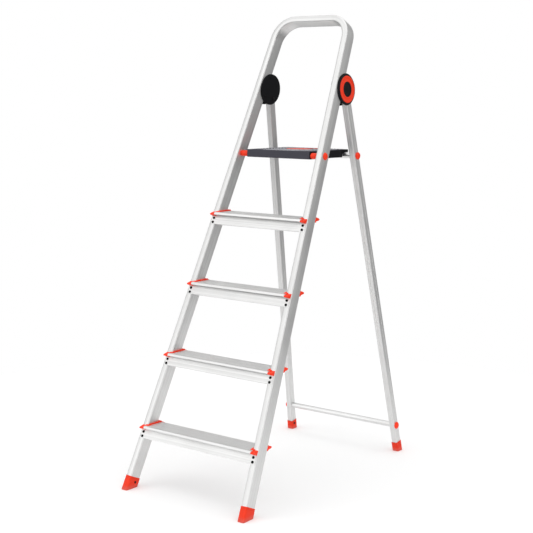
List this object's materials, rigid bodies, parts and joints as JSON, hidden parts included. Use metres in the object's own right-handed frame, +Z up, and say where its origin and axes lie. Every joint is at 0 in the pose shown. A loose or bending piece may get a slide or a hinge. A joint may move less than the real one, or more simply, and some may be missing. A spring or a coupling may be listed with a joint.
{
  "type": "folding step ladder",
  "caption": "Folding aluminium step ladder with flat treads, a hinged plastic platform, a bent tubular handrail and a folding rear frame on rubber feet.",
  "frame": {"origin": "centre of the bounding box's underside, on the floor that the four feet stand on, ladder open", "axes": "+Z up, +X to the right of a person facing the steps, +Y from the steps towards the rear legs"},
  "size_m": [0.5054, 0.9404, 1.5345],
  "materials": {
    "aluminium": "satin anodised extrusion",
    "steel": "zinc plated",
    "black_steel": "black coated screws",
    "red_plastic": "satin moulded",
    "red_rubber": "matt moulded",
    "black_plastic": "fine texture moulded",
    "slate_plastic": "fine texture moulded"
  },
  "bodies": {
    "front_frame": {"front_frame": "aluminium", "tread_1": "aluminium", "tread_cap_left_1": "red_plastic", "tread_cap_right_1": "red_plastic", "tread_2": "aluminium", "tread_cap_left_2": "red_plastic", "tread_cap_right_2": "red_plastic", "tread_3": "aluminium", "tread_cap_left_3": "red_plastic", "tread_cap_right_3": "red_plastic", "tread_4": "aluminium", "tread_cap_left_4": "red_plastic", "tread_cap_right_4": "red_plastic", "tread_screws": "black_steel", "platform_axle": "steel", "axle_collar_left": "red_plastic", "axle_cap_left": "red_plastic", "hinge_housing_left": "black_plastic", "hinge_ring_left": "red_plastic", "hinge_badge_left": "black_plastic", "hinge_cover_left": "black_plastic", "hinge_screws_left": "black_steel", "pivot_bolt_left": "black_steel", "foot_front_left": "red_rubber", "axle_collar_right": "red_plastic", "axle_cap_right": "red_plastic", "hinge_housing_right": "black_plastic", "hinge_ring_right": "red_plastic", "hinge_badge_right": "black_plastic", "hinge_cover_right": "black_plastic", "hinge_screws_right": "black_steel", "pivot_bolt_right": "black_steel", "foot_front_right": "red_rubber", "foot_screws_front": "black_steel"},
    "rear_frame": {"rear_leg_left": "aluminium", "leg_plug_left": "black_plastic", "upper_bar_cap_left": "red_plastic", "lower_bar_cap_left": "red_plastic", "foot_rear_left": "red_rubber", "rear_leg_right": "aluminium", "leg_plug_right": "black_plastic", "upper_bar_cap_right": "red_plastic", "lower_bar_cap_right": "red_plastic", "foot_rear_right": "red_rubber", "upper_crossbar": "aluminium", "lower_crossbar": "aluminium", "foot_screws_rear": "black_steel"},
    "platform": {"platform_tray": "slate_plastic", "platform_inlay_front": "red_plastic", "platform_inlay_rear": "red_plastic"}
  },
  "joints": [
    {"name": "rear_fold", "type": "hinge", "parent": "front_frame", "child": "rear_frame", "pos_m": [0, 0.19618, 1.254], "axis": [-1, 0, 0], "range_deg": [0, 36]},
    {"name": "platform_tilt", "type": "hinge", "parent": "front_frame", "child": "platform", "pos_m": [0, 0.04311, 1.07139], "axis": [1, 0, 0], "range_deg": [0, 65.4]}
  ],
  "couplings": [
    {"joint": "platform_tilt", "follows": "rear_fold", "ratio": 1.8166}
  ]
}
